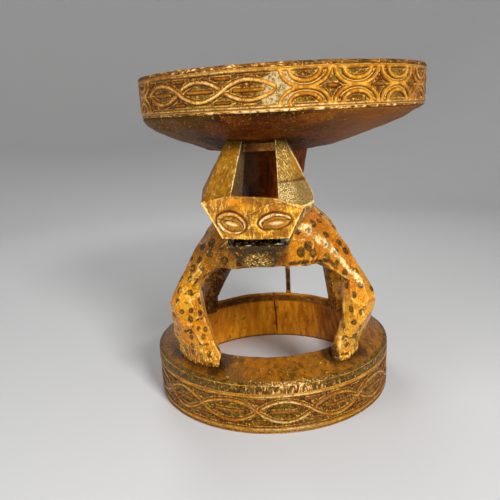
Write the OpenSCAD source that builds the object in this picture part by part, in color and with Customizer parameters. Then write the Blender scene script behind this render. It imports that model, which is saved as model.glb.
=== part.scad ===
// Carved stool: a round seat carried by a standing leopard on an open ring base.
// The stool is cut from one log. Every named member here is a region of that
// log, and neighbouring members meet face to face where the grain runs on.
// X is to the viewer's right, Y to the back, Z up. The leopard looks along -Y,
// and left and right are the leopard's own.

/* [Seat] */
// Overall height of the stool
stool_h = 409; // [380:1:440]
// Outer diameter of the seat
seat_d = 352; // [330:1:380]
// Height of the carved band round the seat
band_h = 46; // [38:1:54]
// Width of the flat lip round the top
lip_w = 20; // [14:1:26]
// Depth of the sitting face below the lip
dish_depth = 6; // [5:0.5:9]
// How far the bowl hangs below the band
bowl_depth = 46; // [40:1:52]
// Height of each plain edge of the band
edge_h = 4; // [3:0.5:6]
// Height of the raised border line inside each edge
border_h = 3.5; // [2:0.5:5]
// How far the borders stand out from the ground of the frieze
relief = 2.5; // [1:0.5:4]

/* [Base] */
// Outer diameter of the base ring
base_d = 315; // [300:1:330]
// How far the base sits to the side of the seat's centre
base_shift = -23.5; // [-28:0.5:-12]
// Height of the ring at its outer face
base_h = 63; // [54:1:72]
// How much higher the ring stands at the hole
base_rise = 18; // [8:1:24]
// Diameter of the hole at the top
hole_top_d = 236; // [224:1:244]
// Diameter of the hole at the floor
hole_floor_d = 272; // [250:1:286]

/* [Pillar] */
// Width of the pillar under the seat
pillar_top_w = 100; // [88:1:110]
// Width of the pillar on the leopard's back
pillar_foot_w = 76; // [66:1:86]
// Depth of the pillar as a share of its width
pillar_flatness = 0.8; // [0.7:0.05:1]
// How far the pillar stands to the side of the seat's centre
pillar_shift = -18; // [-24:1:-10]
// Width of the lug between the ears
lug_w = 46; // [42:1:52]
// Thickness of the lug under the bowl
lug_h = 11; // [8:1:16]

/* [Body] */
// Height of the leopard's back
back_h = 260; // [250:1:268]
// Height of the belly
belly_h = 187; // [178:1:196]
// Length of the body
body_l = 226; // [210:1:236]
// Width of the body at the shoulders
shoulder_w = 153; // [144:1:162]
// Width of the body at the waist
waist_w = 112; // [100:1:130]
// Width of the body at the hips
hip_w = 136; // [124:1:148]

/* [Legs] */
// Distance between the middles of the front knees
front_knee_span = 204; // [196:1:212]
// Distance between the middles of the rear knees
rear_knee_span = 176; // [168:1:184]
// Height of the front knees
front_knee_h = 150; // [140:1:160]
// Height of the rear knees
rear_knee_h = 138; // [128:1:148]
// Thickness of the front legs at the knee
front_leg_w = 37; // [33:1:41]
// Thickness of the rear legs at the knee
rear_leg_w = 38; // [32:1:42]
// Width of the front left paw
front_left_paw_w = 35; // [31:1:39]
// Width of the front right paw, the broadest
front_right_paw_w = 50; // [44:1:54]
// Thickness of the front paws
paw_t = 23; // [20:1:26]
// Width of the rear paws
rear_paw_w = 31; // [28:1:34]
// Radius at which the middle of each paw stands on the ring
paw_reach = 130; // [128:1:134]
// Angle of the front left paw from straight ahead
front_left_paw_angle = 44; // [41:1:47]
// Angle of the front right paw from straight ahead
front_right_paw_angle = 41; // [38:1:44]
// Angle of the rear paws from straight behind
rear_paw_angle = 52; // [48:1:56]
// How far the front legs sit to the side of the base's centre
front_stance_shift = 5; // [0:1:8]
// How far the rear legs sit to the side of the base's centre
rear_stance_shift = 9; // [4:1:12]
// Thickness of the tail
tail_d = 7; // [6:0.5:10]
// How far the tail's tip sits to the side of the base's centre
tail_shift = 25; // [20:1:30]

/* [Head] */
// How far the muzzle sits to the side of the seat's centre
face_shift = -31; // [-35:1:-27]
// How far the muzzle reaches in front of the seat's centre
face_reach = 160; // [156:1:164]
// Turn of the head to the leopard's right
face_turn = 7; // [4:1:10]
// Height of the upper lip above the floor
lip_level = 235; // [228:1:238]
// Width of the face along the upper lip
muzzle_w = 72; // [64:1:78]
// Width of the face across its top corners
face_w = 112; // [106:1:120]
// Width of the head across the temples
temple_w = 126; // [118:1:132]
// How far the face's top corners sit to the leopard's right of the muzzle
brow_lean = 5; // [0:1:8]
// How much lower the brow sits on the leopard's left
brow_drop = 10; // [0:1:12]
// Height of the face from lip to brow
face_h = 43; // [40:1:46]
// Length of the head from lip to nape
head_l = 66; // [62:1:70]
// Height of the open mouth
mouth_h = 9; // [6:1:11]
// Depth of the open mouth
mouth_depth = 15; // [10:1:20]
// Height of the chin below the upper lip
chin_drop = 35; // [31:1:38]
// Distance between the ears at the brow
ear_gap_brow = 50; // [46:1:56]
// Distance between the ears under the seat
ear_gap_top = 35; // [31:1:39]
// Width of the left ear under the seat
left_ear_top_w = 8; // [7:1:14]
// Width of the right ear under the seat
right_ear_top_w = 16; // [12:1:20]
// Thickness of each ear under the seat, front to back
ear_top_t = 16; // [12:1:22]

/* [Hidden] */

// Finish colours
honey = [0.78, 0.50, 0.12];
amber = [0.66, 0.36, 0.10];
russet = [0.42, 0.20, 0.08];
olive = [0.50, 0.40, 0.14];
umber = [0.20, 0.12, 0.06];

$fn = 96;

// Seat
seat_r = seat_d / 2;
band_z = stool_h - band_h;
ground_r = seat_r - relief;
bowl_r = seat_r - lip_w;
bowl_foot_z = band_z - bowl_depth;
bowl_sides = 32;
// The bowl's lower half leans over to the pillar, which stands on the base
bowl_drop = [0, 0.08, 0.24, 0.42, 0.6, 0.76, 0.92, 1];
bowl_width = [0.983, 0.97, 0.914, 0.814, 0.691, 0.571, 0.446, 0.309];
bowl_lean = [0, 0.12, 0.38, 0.55, 0.75, 0.75, 1, 0.92];

// Base ring
base_r = base_d / 2;
hole_top_r = hole_top_d / 2;
hole_floor_r = hole_floor_d / 2;
ring_slope = base_rise / (base_r - hole_top_r);
ring_top_z = base_h + base_rise;

// Body
trunk_h = back_h - belly_h;
// One half of the trunk's cross-section, as shares of half width and height
trunk_outline = [[0, 1], [0.42, 0.98], [0.72, 0.84], [0.92, 0.58],
                 [1, 0.28], [0.93, 0.03], [0.5, 0]];
// The trunk from rump to chest: place as a share of its length, half width, and
// how far the top and bottom sit inside the full height, as shares of that height
trunk_course = [
    [-0.5, 0.16 * hip_w, 0.47, 0.167],
    [-0.45, 0.32 * hip_w, 0.25, 0.055],
    [-0.25, 0.5 * hip_w, 0.04, -0.055],
    [0, 0.5 * waist_w, 0.03, 0],
    [0.31, 0.5 * shoulder_w, 0, 0],
    [0.43, 0.47 * shoulder_w, 0.194, 0],
    [0.5, 0.38 * shoulder_w, 0.47, 0.04]];

// Legs
leg_sides = 8;
front_knee_y = -0.777 * paw_reach;
rear_knee_y = 0.615 * paw_reach;
paw_z = base_h + ring_slope * (base_r - paw_reach);
foot_root = 0.67 * base_rise;
// Each course climbs from the knee: shares of the way in, back and up, then of
// the knee's half width for the half width and half depth
front_leg_course = [
    [0, 0, 0, 1, 1.1],
    [0.045, 0.06, 0.2, 0.7, 0.97],
    [0.284, 0.17, 0.382, 1.35, 1.3],
    [0.422, 0.257, 0.564, 1.46, 1.46],
    [0.627, 0.396, 0.782, 1.46, 1.46],
    [0.7, 0.455, 0.87, 0.95, 0.95]];
rear_leg_course = [
    [0, 0, 0, 1, 1.1],
    [0.114, 0.088, 0.246, 1.16, 1.32],
    [0.341, 0.2, 0.508, 1.37, 1.58],
    [0.511, 0.3, 0.689, 1.21, 1.42],
    [0.614, 0.35, 0.803, 0.68, 0.84]];

// Head
ear_top_z = band_z - lip_level - 0.5 * bowl_depth;
lug_z = bowl_foot_z + bowl_depth / 3 - lug_h - lip_level;

// Height of the ring's sloping top at a distance from its middle
function ring_z(r) = base_h + ring_slope * (base_r - r);

// A level outline of n sides, with half widths a and b, round a point
function outline(c, a, b, n, skew = 0) =
    [for (i = [0 : n - 1])
        let (t = (i + 0.5) * 360 / n, u = a * cos(t) / cos(180 / n))
            [c[0] + u, c[1] + b * sin(t) / cos(180 / n) + skew * u, c[2]]];

// One side of a face list between two neighbouring outlines
function side_faces(j, n) =
    [for (i = [0 : n - 1]) let (k = (i + 1) % n)
        each [[j * n + i, (j + 1) * n + i, (j + 1) * n + k],
              [j * n + i, (j + 1) * n + k, j * n + k]]];

// A closed form through a stack of outlines with equal numbers of points
module loft(rings) {
    n = len(rings[0]);
    last = (len(rings) - 1) * n;
    polyhedron(
        points = [for (ring = rings) each ring],
        faces = concat(
            [for (j = [0 : len(rings) - 2]) each side_faces(j, n)],
            [for (i = [1 : n - 2]) [0, i, i + 1]],
            [for (i = [1 : n - 2]) [last, last + i + 1, last + i]]),
        convexity = 6);
}

// A convex block with flat faces through a set of corners
module block(corners) {
    hull()
        polyhedron(points = corners, faces = [[for (i = [0 : len(corners) - 1]) i]]);
}

// A mirrored pair of corners of the head
function pair(x, y, z) = [[-x, y, z], [x, y, z]];

// A corner of the head, carried down by the drop of the brow and to the side by the lean
function brow(x, y, z, lean = 0) =
    [x - lean * brow_lean, y, z - z / face_h * brow_drop * x / temple_w];

// A pair of such corners
function brow_pair(x, y, z, lean = 0) = [brow(-x, y, z, lean), brow(x, y, z, lean)];

// Places a form in the frame of the head: the origin is the middle of the upper lip
module in_head() {
    translate([face_shift, -face_reach, lip_level])
        rotate([0, 0, -face_turn])
            children();
}

// Everything below the ring's top, which trims what stands on it
module below_ring_top() {
    translate([base_shift, 0, 0])
        rotate_extrude()
            polygon([[0, 0], [1.1 * base_r, 0], [1.1 * base_r, ring_z(1.1 * base_r)], [0, ring_z(0)]]);
}

// Base
module base_ring() {
    ground = base_r - relief;
    ease = 0.4 * relief;
    frieze_top = base_h - 3 * edge_h - border_h;
    color(amber)
        translate([base_shift, 0, 0])
            rotate_extrude()
                polygon([
                    [hole_floor_r, 0],
                    [base_r - 2 * ease, 0],
                    [ground, edge_h],
                    [base_r, edge_h + ease],
                    [base_r, edge_h + border_h],
                    [ground, edge_h + border_h + ease],
                    [ground, frieze_top],
                    [base_r, frieze_top + ease],
                    [base_r, base_h],
                    [hole_top_r, ring_top_z]]);
}

// One cross-section of the trunk: place, half width, top and bottom
function trunk_ring(y, half_w, top, bottom) =
    [for (p = trunk_outline) [base_shift + half_w * p[0], y, bottom + (top - bottom) * p[1]],
     for (i = [len(trunk_outline) - 1 : -1 : 1]) let (p = trunk_outline[i])
        [base_shift - half_w * p[0], y, bottom + (top - bottom) * p[1]]];

module trunk() {
    mirror([0, 1, 0])
        loft([for (c = trunk_course)
            trunk_ring(c[0] * body_l, c[1], back_h - c[2] * trunk_h, belly_h + c[3] * trunk_h)]);
}

module torso() {
    color(honey) trunk();
}

// A level outline of a leg with half width a and half depth b
function leg_ring(x, y, z, a, b, skew = 0) = outline([x, y, z], a, b, leg_sides, skew);

// Place of a front knee, a rear knee and a paw across the stool
function front_knee_x(side) = base_shift + front_stance_shift + side * front_knee_span / 2;
function rear_knee_x(side) = base_shift + rear_stance_shift + side * rear_knee_span / 2;
function paw_x(side, angle) = base_shift + side * paw_reach * sin(angle);

// The outlines of a leg from its knee at x, y, z with half width w up into the body
function leg_climb(course, side, x, y, z, w, reach) =
    [for (c = course)
        leg_ring(x - side * c[0] * reach, y * (1 - c[1]), z + c[2] * (back_h - z), w * c[3], w * c[4])];

// The bowed front leg above the knee, from inside the shoulder
module upper_leg_form(side) {
    loft(leg_climb(front_leg_course, side, front_knee_x(side), front_knee_y, front_knee_h,
        front_leg_w / 2, front_knee_span / 2));
}

// The rear leg above the knee, from inside the hip
module thigh_form(side) {
    loft(leg_climb(rear_leg_course, side, rear_knee_x(side), rear_knee_y, rear_knee_h,
        rear_leg_w / 2, rear_knee_span / 2));
}

// The front leg below the knee and its paw
module foreleg_form(side) {
    angle = side > 0 ? front_left_paw_angle : front_right_paw_angle;
    paw = (side > 0 ? front_left_paw_w : front_right_paw_w) / 2;
    knee = front_knee_x(side);
    w = front_leg_w / 2;
    x = paw_x(side, angle);
    y = -paw_reach * cos(angle);
    rise = front_knee_h - paw_z;
    // The paw follows the ring, so its outline is drawn askew
    loft([
        leg_ring(x, y, paw_z - foot_root, paw, paw_t / 2, 0.9 * side),
        leg_ring(x, y, paw_z + 0.1 * rise, 0.97 * paw, paw_t / 2, 0.9 * side),
        leg_ring((x + knee) / 2, y, paw_z + 0.333 * rise, 0.91 * paw, 0.9 * w, 0.5 * side),
        leg_ring(knee - side * 0.1 * w, front_knee_y, paw_z + 0.667 * rise, 0.43 * (paw + w), w, 0.15 * side),
        leg_ring(knee, front_knee_y, front_knee_h, w, 1.1 * w)]);
}

// The rear leg below the knee and its paw
module shank_form(side) {
    paw = rear_paw_w / 2;
    knee = rear_knee_x(side);
    w = rear_leg_w / 2;
    x = paw_x(side, rear_paw_angle);
    y = paw_reach * cos(rear_paw_angle);
    rise = rear_knee_h - paw_z;
    loft([
        leg_ring(x, y, paw_z - foot_root, paw, 1.06 * paw),
        leg_ring(x, 0.99 * y, paw_z + 0.21 * rise, 1.06 * paw, 1.06 * paw),
        leg_ring((x + knee) / 2, 1.06 * rear_knee_y, paw_z + 0.606 * rise, 0.9 * w, 0.95 * w),
        leg_ring(knee, rear_knee_y, rear_knee_h, w, 1.1 * w)]);
}

module front_upper_leg(side) {
    color(honey)
        difference() {
            upper_leg_form(side);
            trunk();
            in_head() head_form();
            in_head() jaw_form();
            neck_form();
        }
}

module rear_thigh(side) {
    color(honey)
        difference() {
            thigh_form(side);
            trunk();
        }
}

module front_foreleg(side) {
    color(honey)
        difference() {
            foreleg_form(side);
            below_ring_top();
        }
}

module rear_shank(side) {
    color(honey)
        difference() {
            shank_form(side);
            below_ring_top();
        }
}

module front_left_upper_leg() front_upper_leg(1);
module front_right_upper_leg() front_upper_leg(-1);
module rear_left_thigh() rear_thigh(1);
module rear_right_thigh() rear_thigh(-1);
module front_left_foreleg() front_foreleg(1);
module front_right_foreleg() front_foreleg(-1);
module rear_left_shank() rear_shank(1);
module rear_right_shank() rear_shank(-1);

// The thin tail, from the rump down to the back of the ring
module tail() {
    r = tail_d / 2;
    tip_y = 1.042 * hole_top_r;
    hang = belly_h - ring_top_z;
    // Shares of the tip's shift, distance behind the middle, height, half width and half depth
    course = [
        [1, tip_y, ring_top_z - foot_root, r, r],
        [1, tip_y, ring_top_z + 0.28 * hang, r, r],
        [0.957, 1.07 * hole_top_r, ring_top_z + 0.65 * hang, r, r],
        [0.739, 1.07 * hole_top_r, belly_h + 0.14 * trunk_h, 1.29 * r, 1.43 * r],
        [0.391, 0.486 * body_l, belly_h + 0.42 * trunk_h, 1.57 * r, 2.14 * r],
        [0.217, 0.397 * body_l, belly_h + 0.56 * trunk_h, 1.57 * r, 2.71 * r]];
    color(russet)
        difference() {
            loft([for (c = course)
                outline([base_shift + c[0] * tail_shift, c[1], c[2]], c[3], c[4], leg_sides)]);
            trunk();
            below_ring_top();
        }
}

// Head
module head_form() {
    block(concat(
        pair(0.5 * muzzle_w, 0, 0),
        [[-0.056 * muzzle_w, -0.07 * muzzle_w, 0]],
        brow_pair(0.5 * face_w, 0.182 * head_l, 0.8 * face_h, 1),
        brow_pair(0.5 * ear_gap_brow, 0.06 * head_l, face_h),
        brow_pair(0.5 * temple_w, 0.64 * head_l, 0.69 * face_h, 0.6),
        brow_pair(0.426 * temple_w, head_l, 0.778 * face_h, 0.6),
        pair(0.472 * muzzle_w, head_l, 0)));
}

module jaw_form() {
    difference() {
        block(concat(
            pair(0.472 * muzzle_w, 0.03 * head_l, 0),
            pair(0.232 * muzzle_w, 0.21 * head_l, -chin_drop),
            pair(0.472 * muzzle_w, head_l, 0),
            pair(0.289 * muzzle_w, 0.91 * head_l, -chin_drop)));
        translate([-muzzle_w, -mouth_depth, -mouth_h])
            cube([2 * muzzle_w, 2 * mouth_depth, 2 * mouth_h]);
    }
}

module neck_form() {
    difference() {
        hull() {
            in_head()
                block(concat(
                    pair(0.34 * temple_w, 0.88 * head_l, 0.69 * face_h),
                    pair(0.387 * muzzle_w, 0.88 * head_l, -0.31 * face_h)));
            translate([base_shift, -0.265 * body_l, belly_h + 0.2 * trunk_h])
                block(concat(
                    pair(0.26 * shoulder_w, 0, 0),
                    pair(0.24 * shoulder_w, 0, 0.72 * trunk_h)));
        }
        in_head() head_form();
        in_head() jaw_form();
    }
}

// An ear: a wedge on the brow that thins to a post under the seat
module ear_form(side) {
    gap = side * ear_gap_brow / 2;
    inner_top = side * ear_gap_top / 2;
    outer_top = side * (ear_gap_top / 2 + (side > 0 ? left_ear_top_w : right_ear_top_w));
    block([
        brow(gap, 0.068 * head_l, 0.989 * face_h),
        brow(side * 0.491 * face_w, 0.189 * head_l, 0.778 * face_h, 1),
        brow(side * 0.492 * temple_w, 0.64 * head_l, 0.67 * face_h, 0.6),
        brow(side * 0.492 * temple_w, 0.64 * head_l, 1.02 * face_h, 0.6),
        brow(gap, 0.985 * head_l, 0.733 * face_h),
        brow(side * 0.409 * temple_w, 0.985 * head_l, 0.733 * face_h, 0.6),
        [inner_top, head_l - ear_top_t, ear_top_z],
        [outer_top, head_l - ear_top_t, ear_top_z],
        [inner_top, head_l, ear_top_z],
        [outer_top, head_l, ear_top_z]]);
}

module head() {
    color(honey)
        difference() {
            in_head() head_form();
            trunk();
        }
}

module lower_jaw() {
    color(umber)
        difference() {
            in_head() jaw_form();
            trunk();
        }
}

module neck() {
    color(honey)
        difference() {
            neck_form();
            trunk();
        }
}

module ear(side) {
    color(olive)
        difference() {
            in_head() ear_form(side);
            in_head() head_form();
            bowl_form();
        }
}

module left_ear() ear(1);
module right_ear() ear(-1);

// Pillar and seat
module pillar_form() {
    a0 = pillar_foot_w / 2;
    a1 = pillar_top_w / 2;
    foot_z = back_h - 0.4 * trunk_h;
    top_z = band_z;
    spread = (a1 - a0) / (bowl_foot_z - back_h);
    loft([for (z = [foot_z, back_h, bowl_foot_z, top_z])
        let (a = a0 + spread * (z - back_h))
            outline([pillar_shift, 0, z], a, a * pillar_flatness, 12)]);
}

module pillar() {
    color(russet)
        difference() {
            pillar_form();
            trunk();
            bowl_form();
        }
}

// The lug that fills the corner between the ears and the pillar
module ear_lug() {
    color(amber)
        difference() {
            in_head()
                translate([-lug_w / 2, head_l - 0.75 * ear_top_t, lug_z])
                    cube([lug_w, face_reach - head_l - pillar_flatness * pillar_foot_w / 2, ear_top_z - lug_z]);
            in_head() ear_form(1);
            in_head() ear_form(-1);
            pillar_form();
            bowl_form();
        }
}

// The faceted underside of the seat, from the band down to the pillar
module bowl_form() {
    loft([for (i = [len(bowl_drop) - 1 : -1 : 0])
        outline([bowl_lean[i] * pillar_shift, 0, band_z - bowl_drop[i] * bowl_depth],
                seat_r * bowl_width[i], seat_r * bowl_width[i], bowl_sides)]);
}

module seat_bowl() {
    color(russet) {
        bowl_form();
        translate([0, 0, band_z])
            cylinder(r = bowl_r, h = band_h - dish_depth);
    }
}

module seat_rim() {
    top = stool_h;
    ease = 0.4 * relief;
    color(amber)
        rotate_extrude()
            polygon([
                [bowl_r, band_z],
                [seat_r - 2 * ease, band_z],
                [seat_r - ease, band_z + edge_h],
                [seat_r, band_z + edge_h + ease],
                [seat_r, band_z + edge_h + border_h],
                [ground_r, band_z + edge_h + border_h + ease],
                [ground_r, top - edge_h - border_h - ease],
                [seat_r, top - edge_h - border_h],
                [seat_r, top - ease],
                [seat_r - ease, top],
                [bowl_r + 2 * ease, top],
                [bowl_r, top - ease]]);
}

base_ring();
front_left_foreleg();
front_right_foreleg();
rear_left_shank();
rear_right_shank();
front_left_upper_leg();
front_right_upper_leg();
rear_left_thigh();
rear_right_thigh();
torso();
tail();
neck();
head();
lower_jaw();
left_ear();
right_ear();
pillar();
ear_lug();
seat_bowl();
seat_rim();
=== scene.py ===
"""A carved leopard stool: a round seat with a carved band, held up by a leopard on an open ring base.

The whole stool is cut from one log and varnished. X is to the viewer's right, Y to the back and Z up.
Places and sizes are in millimetres until a mesh is made. Left and right in names are the leopard's own.
"""

import math

import bmesh
import bpy
import numpy as np
from mathutils import Matrix, Vector
from mathutils.kdtree import KDTree


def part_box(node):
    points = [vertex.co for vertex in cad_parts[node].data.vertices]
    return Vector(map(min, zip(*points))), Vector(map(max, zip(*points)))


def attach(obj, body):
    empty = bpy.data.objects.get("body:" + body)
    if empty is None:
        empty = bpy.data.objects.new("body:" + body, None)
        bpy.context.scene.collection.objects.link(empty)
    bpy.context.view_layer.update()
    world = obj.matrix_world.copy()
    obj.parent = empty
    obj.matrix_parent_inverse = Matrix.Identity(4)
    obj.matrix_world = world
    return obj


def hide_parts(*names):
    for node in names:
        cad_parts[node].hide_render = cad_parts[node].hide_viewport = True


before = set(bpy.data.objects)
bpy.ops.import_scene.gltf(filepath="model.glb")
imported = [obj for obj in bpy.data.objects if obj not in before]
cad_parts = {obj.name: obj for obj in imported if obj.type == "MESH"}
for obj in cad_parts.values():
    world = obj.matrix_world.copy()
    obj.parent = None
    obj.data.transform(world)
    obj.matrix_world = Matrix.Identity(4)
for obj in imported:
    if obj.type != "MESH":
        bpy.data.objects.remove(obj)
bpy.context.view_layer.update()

MM = 0.001


# Places and sizes


def node_box(node):
    """The lowest and highest corner of a CAD node, in millimetres."""
    low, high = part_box(node)
    return np.array(low) / MM, np.array(high) / MM


rim_low, rim_high = node_box("seat_rim")
bowl_low, bowl_high = node_box("seat_bowl")
base_low, base_high = node_box("base_ring")

SEAT_RADIUS = (rim_high[0] - rim_low[0]) / 2
SEAT_TOP = rim_high[2]
BAND_FOOT = rim_low[2]
DISH_FLOOR = bowl_high[2]
BOWL_FOOT = bowl_low[2]
LIP_WIDTH = 20
BASE_RADIUS = (base_high[0] - base_low[0]) / 2
BASE_X = (base_high[0] + base_low[0]) / 2
RING_TOP = base_high[2]
BASE_WALL_TOP = 63
HOLE_TOP_RADIUS = 118
HOLE_FLOOR_RADIUS = 136
CARVING_DEPTH = 2.5
PILLAR_X = -18
FRONT_STANCE = BASE_X + 5
REAR_STANCE = BASE_X + 9
BACK = 260
HEAD_PLACE = np.array([-31, -160, 235])
HEAD_TURN = math.radians(7)
PITH = (-14, 22)
BUMP_DEPTH = 1.4
SCATTER_TRIES = 7000

# Colours of the varnished wood, from 0 to 255 a channel

HONEY = (204, 122, 14)
AMBER = (150, 78, 6)
CHESTNUT = (118, 62, 8)
RUSSET = (92, 42, 6)
MAROON = (54, 16, 3)
UMBER = (42, 22, 3)
SOOT = (13, 7, 3)
OLIVE = (80, 58, 10)
BRONZE = (148, 102, 22)
STRAW = (246, 190, 84)
CREAM = (242, 214, 150)


# Noise and small helpers


def lattice(cell, seed):
    """A repeatable number from -1 to 1 for each whole-number cell."""
    mix = cell[..., 0] * 374761393 + cell[..., 1] * 668265263 + cell[..., 2] * 1440662683 + seed * 974634777
    mix = mix & 0xFFFFFFFF
    mix = ((mix ^ (mix >> 13)) * 1274126177) & 0xFFFFFFFF
    return ((mix ^ (mix >> 16)) & 0xFFFF) / 32767.5 - 1


def waver(points, size, seed=0):
    """Smooth noise from -1 to 1 whose lumps are about `size` across."""
    place = np.asarray(points, float) / size
    cell = np.floor(place).astype(np.int64)
    part = place - cell
    part = part * part * (3 - 2 * part)
    corners = np.ndindex(2, 2, 2)
    return sum(np.where(c, part, 1 - part).prod(-1) * lattice(cell + np.array(c), seed) for c in corners)


def climb(low, high, value):
    """0 below low, 1 above high, and a smooth climb between them."""
    t = np.clip((value - low) / (high - low), 0, 1)
    return t * t * (3 - 2 * t)


def fall(low, high, value):
    """1 below low, 0 above high, and a smooth fall between them."""
    return 1 - climb(low, high, value)


def hump(value, middle, width):
    """1 at the middle, and smoothly less on either side."""
    return np.exp(-((value - middle) / width) ** 2)


def strand(distance, width):
    """The height, from 0 to 1, of a rounded strand at a distance from its middle."""
    return fall(0.2 * width, 0.62 * width, np.abs(distance))


def to_line(points, line):
    """Distance of each point from a chain of places."""
    best = np.inf
    for start, end in zip(line[:-1], line[1:]):
        way = np.subtract(end, start)
        share = np.clip(((points - start) @ way) / (way @ way), 0, 1)
        best = np.minimum(best, np.linalg.norm(points - start - share[..., None] * way, axis=-1))
    return best


# Meshes


def stand(name, data):
    """A new object in the scene."""
    obj = bpy.data.objects.new(name, data)
    bpy.context.scene.collection.objects.link(obj)
    return obj


def mesh_of(name, points, faces):
    """A new mesh from points in millimetres."""
    mesh = bpy.data.meshes.new(name)
    mesh.from_pydata((np.asarray(points) * MM).tolist(), [], faces)
    return mesh


class Skin:
    """Points, faces of four points, and a number per point for each mark, before they become a piece."""

    def __init__(self, points, faces):
        self.points = points
        self.faces = faces
        self.marks = {}
        self.shade = None
        pairs = np.concatenate([faces[:, [i, (i + 1) % 4]] for i in range(4)])
        self.edges = np.unique(np.sort(pairs), axis=0)
        self.valence = np.bincount(self.edges.ravel())[:, None]

    def gather(self, owners, vectors):
        """For each point, the sum of the vectors that it owns."""
        return np.stack([np.bincount(owners, vectors[:, axis], len(self.points)) for axis in range(3)], 1)

    def normals(self, points=None):
        p = self.points if points is None else points
        q = self.faces
        across = np.cross(p[q[:, 2]] - p[q[:, 0]], p[q[:, 3]] - p[q[:, 1]])
        total = sum(self.gather(q[:, i], across) for i in range(4))
        return total / np.maximum(np.linalg.norm(total, axis=1, keepdims=True), 1e-9)

    def eased(self, rounds):
        """The points after each has moved half way to the middle of its neighbours, `rounds` times."""
        p = self.points
        first, second = self.edges.T
        for _ in range(rounds):
            total = self.gather(first, p[second]) + self.gather(second, p[first])
            p = 0.5 * p + 0.5 * total / self.valence
        return p

    def mark_ridges(self, rounds):
        """Marks how far each point stands out from its eased surroundings, in millimetres."""
        self.marks["ridge"] = ((self.points - self.eased(rounds)) * self.normals()).sum(1)

    def roughen(self, *bumps):
        """Raises small bumps, each given as a height, a lump size, a seed and a squeeze along Z."""
        p = self.points
        rise = sum(height * waver(p * [1, 1, squeeze], size, seed) for height, size, seed, squeeze in bumps)
        self.points = p + rise[:, None] * self.normals()

    def scatter(self, spacing, seed, where=True):
        """Some of the points, picked so that no two are nearer than `spacing`."""
        pool = np.flatnonzero(np.broadcast_to(where, len(self.points)))
        kept = []
        for index in np.random.RandomState(seed).permutation(pool)[:SCATTER_TRIES]:
            if not kept or ((self.points[kept] - self.points[index]) ** 2).sum(1).min() > spacing * spacing:
                kept.append(index)
        return np.array(kept)

    def nearest(self, places, count, points):
        """Numbers of the nearest places to each point, and how far they are."""
        tree = KDTree(len(places))
        for i, place in enumerate(places):
            tree.insert(place, i)
        tree.balance()
        found = np.array([[f[1:] for f in tree.find_n(point, count)] for point in points.tolist()])
        return found[..., 0].astype(int), found[..., 1]

    def hew(self, spacing, amount, deepest, seed, soft=1.2):
        """Flattens the surface into facets, as an adze or chisel leaves it."""
        seeds = self.scatter(spacing, seed)
        places = self.points[seeds]
        facing = self.normals(self.eased(6))[seeds]
        which, gap = self.nearest(places, 3, self.points)
        weight = np.exp((gap[:, :1] - gap) / soft)
        weight = weight / weight.sum(1, keepdims=True)
        off = ((places[which] - self.points[:, None]) * facing[which]).sum(2)
        off = np.clip(off * amount, -deepest, deepest) * weight
        self.points = self.points + (off[..., None] * facing[which]).sum(1)
        tone = np.random.RandomState(seed + 1).uniform(0, 1, len(seeds))
        self.marks["facet"] = (tone[which] * weight).sum(1)

    def spots(self, seeds, sizes):
        """Marks each point's distance from the nearest spot, in radii of that spot, and that spot's kind."""
        tall = [1, 1, 0.8]
        which, gap = self.nearest(self.points[seeds] * tall, 3, self.points * tall)
        share = gap / np.array(sizes)[which]
        rows, pick = np.arange(len(share)), share.argmin(1)
        kind = np.random.RandomState(len(seeds)).uniform(0, 1, len(seeds))
        self.marks.update(spot=share[rows, pick], kind=kind[which[rows, pick]])

    def part(self, wanted):
        """The skin of the wanted faces alone, shaded as it is in the whole."""
        faces = self.faces[wanted]
        used, index = np.unique(faces, return_inverse=True)
        piece = Skin(self.points[used], index.reshape(faces.shape))
        piece.marks = {name: values[used] for name, values in self.marks.items()}
        piece.shade = self.normals()[used]
        return piece

    def piece(self, name, material, node, slot):
        """Makes the Blender object, lets it ride on the stool and stand for its CAD node."""
        mesh = mesh_of(name, self.points, self.faces.tolist())
        for mark, values in self.marks.items():
            layer = mesh.attributes.new(mark, "FLOAT", "POINT")
            layer.data.foreach_set("value", np.asarray(values, np.float32))
        mesh.shade_smooth()
        mesh.update()
        if self.shade is not None:
            mesh.normals_split_custom_set_from_vertices(self.shade.tolist())
        mesh.materials.append(material)
        obj = stand(name, mesh)
        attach(obj, "root")
        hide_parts(node)


def grid(rows, columns, closed):
    """Faces between rows of points that each run round; closed joins the last row to the first."""
    i, j = np.meshgrid(np.arange(rows if closed else rows - 1), np.arange(columns), indexing="ij")
    n, k = (i + 1) % rows * columns, (j + 1) % columns
    i = i * columns
    return np.stack([i + j, i + k, n + k, n + j], -1).reshape(-1, 4)


def loft(rings):
    """A closed form through a stack of rings, each an array of as many points."""
    count = len(rings[0])
    last = (len(rings) - 1) * count
    faces = grid(len(rings), count, False).tolist()
    faces += [[0, i + 1, i] for i in range(1, count - 1)]
    faces += [[last, last + i, last + i + 1] for i in range(1, count - 1)]
    return np.concatenate(rings), faces


def outline(x, y, z, half_width, half_depth, skew=0, sides=8):
    """A level ring of flat-sided outline round a point."""
    turn = (np.arange(sides) + 0.5) * 2 * math.pi / sides
    grow = 1 / math.cos(math.pi / sides)
    across = half_width * np.cos(turn) * grow
    return np.stack([x + across, y + half_depth * np.sin(turn) * grow + skew * across,
                     np.full(sides, float(z))], 1)


def hull_of(corners):
    """The convex block through a set of corners, as points and faces."""
    work = bmesh.new()
    bmesh.ops.convex_hull(work, input=[work.verts.new(corner) for corner in corners])
    work.verts.index_update()
    points = [v.co[:] for v in work.verts]
    faces = [[v.index for v in f.verts] for f in work.faces]
    work.free()
    return points, faces


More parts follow.
